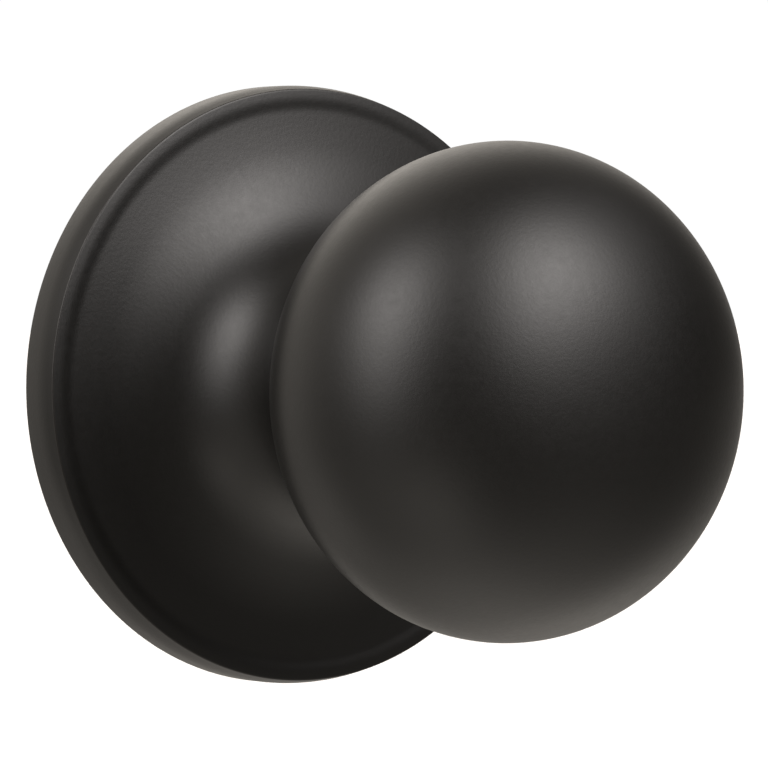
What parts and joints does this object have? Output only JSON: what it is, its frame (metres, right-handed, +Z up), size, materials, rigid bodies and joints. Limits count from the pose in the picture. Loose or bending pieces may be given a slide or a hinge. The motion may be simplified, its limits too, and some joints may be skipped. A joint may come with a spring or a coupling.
{
  "type": "door knob",
  "caption": "Round satin black door knob on a round bell-shaped rose, with its spring-return shank, spindle, mounting plate and posts: the room-side half of a passage set.",
  "frame": {"origin": "on the knob's axis, in the plane of the door's face that the rose's rim bears on", "axes": "+Z up, +Y into the door along the knob's axis, the knob stands out towards -Y, +X to the right seen from the room"},
  "size_m": [0.0666, 0.1083, 0.0666],
  "materials": {
    "satin_black": "satin black",
    "zinc_plate": "zinc plated",
    "steel": "machined",
    "cast_zinc": "as cast zinc",
    "spring_steel": "oil tempered",
    "nylon": "moulded nylon"
  },
  "bodies": {
    "rose": {"rose_cover": "satin_black", "mounting_plate": "zinc_plate", "hub_tube": "zinc_plate", "front_bushing": "nylon", "rear_bushing": "nylon", "post_upper": "zinc_plate", "post_lower": "zinc_plate", "spring_cage": "zinc_plate", "return_spring": "spring_steel", "cage_screw_left": "steel", "cage_screw_right": "steel", "rose_clip_1": "spring_steel", "rose_clip_2": "spring_steel", "rose_clip_3": "spring_steel", "clip_rivet_1": "steel", "clip_rivet_2": "steel", "clip_rivet_3": "steel"},
    "knob": {"knob_shell": "satin_black", "knob_back": "satin_black", "shank_tube": "steel", "shank_flange": "steel", "support_cup": "steel", "spindle_plug": "cast_zinc", "spindle": "steel", "spindle_pin": "steel", "spring_driver": "cast_zinc", "thrust_washer": "steel", "wave_washer": "spring_steel", "retaining_ring": "spring_steel"}
  },
  "joints": [
    {"name": "knob_turn", "type": "hinge", "parent": "rose", "child": "knob", "pos_m": [0, 0, 0], "axis": [0, 1, 0], "range_deg": [-60, 60], "stiffness_Nm_per_rad": 0.15, "deforming": ["return_spring"]}
  ]
}
